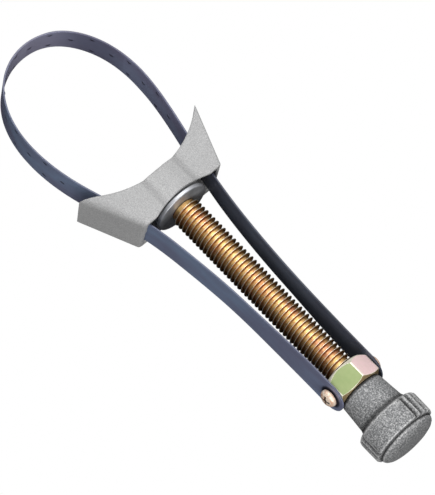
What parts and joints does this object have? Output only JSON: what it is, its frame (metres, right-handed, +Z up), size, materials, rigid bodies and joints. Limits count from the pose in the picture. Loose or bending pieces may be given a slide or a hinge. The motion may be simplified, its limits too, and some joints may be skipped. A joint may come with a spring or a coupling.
{
  "type": "oil filter wrench",
  "caption": "Strap wrench for oil filters: a steel strap loop through a cast saddle, tightened by a knob that turns a threaded spindle in a nut.",
  "frame": {"origin": "in the middle of the knob's flat end, on the spindle's axis", "axes": "+X along the spindle from the strap loop towards the knob, +Y across the jaws, +Z up through the strap's width"},
  "size_m": [0.2188, 0.061, 0.0272],
  "materials": {
    "cast_aluminium": "sand-blasted casting",
    "knob_casting": "rough casting",
    "washer_steel": "turned",
    "clip_spring_steel": "blackened",
    "yellow_zinc_steel": "yellow zinc plate",
    "iridescent_zinc_steel": "iridescent zinc plate",
    "screw_zinc": "zinc plate",
    "blued_spring_steel": "blued"
  },
  "bodies": {
    "saddle_body": {"saddle": "cast_aluminium", "thrust_washer": "washer_steel"},
    "spindle_body": {"spindle": "yellow_zinc_steel", "knob": "knob_casting", "retaining_clip": "clip_spring_steel"},
    "nut_body": {"hex_nut": "iridescent_zinc_steel", "strap_screw_left": "screw_zinc", "strap_screw_right": "screw_zinc", "strap_leg_left": "blued_spring_steel", "strap_leg_right": "blued_spring_steel"},
    "flank_left_body": {"strap_flank_left": "blued_spring_steel"},
    "flank_right_body": {"strap_flank_right": "blued_spring_steel"},
    "crown_left_body": {"strap_crown_left": "blued_spring_steel"},
    "crown_right_body": {"strap_crown_right": "blued_spring_steel"}
  },
  "joints": [
    {"name": "spindle_turn", "type": "hinge", "parent": "saddle_body", "child": "spindle_body", "pos_m": [-0.12735, 0, 0], "axis": [1, 0, 0], "range_deg": [0, 12600]},
    {"name": "nut_slide", "type": "slide", "parent": "saddle_body", "child": "nut_body", "axis": [-1, 0, 0], "range_m": [0, 0.06838], "deforming": ["strap_leg_left", "strap_leg_right"]},
    {"name": "flank_left_slide", "type": "slide", "parent": "saddle_body", "child": "flank_left_body", "axis": [-0.3511, -0.9363, 0], "range_m": [0, 0.0293], "deforming": ["strap_flank_left"]},
    {"name": "flank_right_slide", "type": "slide", "parent": "saddle_body", "child": "flank_right_body", "axis": [-0.3511, 0.9363, 0], "range_m": [0, 0.0293], "deforming": ["strap_flank_right"]},
    {"name": "crown_left_slide", "type": "slide", "parent": "flank_left_body", "child": "crown_left_body", "axis": [-0.6887, 0.725, 0], "range_m": [0, 0.0378]},
    {"name": "crown_right_slide", "type": "slide", "parent": "flank_right_body", "child": "crown_right_body", "axis": [-0.6887, -0.725, 0], "range_m": [0, 0.0378]}
  ],
  "couplings": [
    {"joint": "spindle_turn", "follows": "nut_slide", "rad_per_m": 3215.8},
    {"joint": "flank_left_slide", "follows": "nut_slide", "ratio": 0.4272},
    {"joint": "flank_right_slide", "follows": "nut_slide", "ratio": 0.4272},
    {"joint": "crown_left_slide", "follows": "nut_slide", "ratio": 0.55172},
    {"joint": "crown_right_slide", "follows": "nut_slide", "ratio": 0.55172}
  ]
}
